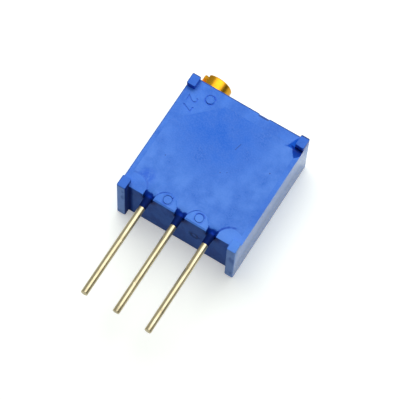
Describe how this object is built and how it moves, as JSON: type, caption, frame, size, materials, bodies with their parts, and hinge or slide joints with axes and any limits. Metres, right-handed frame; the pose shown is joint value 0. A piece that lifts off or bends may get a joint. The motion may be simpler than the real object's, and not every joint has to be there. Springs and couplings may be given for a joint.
{
  "type": "trimmer potentiometer",
  "caption": "Square sealed multi-turn trimmer potentiometer with in-line wire terminals, corner feet and a slotted side adjustment screw that drives an inner worm wheel and wiper.",
  "frame": {"origin": "on the axis of the middle terminal, in the plane of the foot ends that sit on a circuit board", "axes": "+X along the row of terminals, +Y from the terminals to the adjustment screw and along the screw's axis, +Z out of the sealed back"},
  "size_m": [0.0096, 0.019, 0.0048],
  "materials": {
    "case": "satin moulded, fine grain",
    "seal": "semi-gloss cast epoxy",
    "screw": "turned",
    "ring": "moulded",
    "clip": "stamped",
    "wheel": "moulded",
    "wiper": "stamped and plated",
    "board": "fired, unglazed",
    "track": "printed film",
    "conductor": "printed metal film",
    "terminal": "drawn and tinned",
    "solder": "bright"
  },
  "bodies": {
    "case": {"housing": "case", "rear_seal": "seal", "ceramic_board": "board", "resistive_track": "track", "wiper_conductor": "conductor", "end_conductor_1": "conductor", "end_conductor_3": "conductor", "terminal_1": "terminal", "terminal_2": "terminal", "terminal_3": "terminal", "solder_1": "solder", "solder_2": "solder", "solder_3": "solder"},
    "screw": {"adjustment_screw": "screw", "sealing_ring": "ring", "screw_clip": "clip"},
    "rotor": {"worm_wheel": "wheel", "wiper": "wiper"}
  },
  "joints": [
    {"name": "screw_turn", "type": "hinge", "parent": "case", "child": "screw", "pos_m": [-0.00343, 0.01003, -0.00202], "axis": [0, 1, 0], "range_deg": [-4500, 4500]},
    {"name": "rotor_turn", "type": "hinge", "parent": "case", "child": "rotor", "pos_m": [0.0004, 0.0053, -0.00202], "axis": [0, 0, 1], "range_deg": [-132.35, 132.35]}
  ],
  "couplings": [
    {"joint": "rotor_turn", "follows": "screw_turn", "ratio": 0.029412}
  ]
}
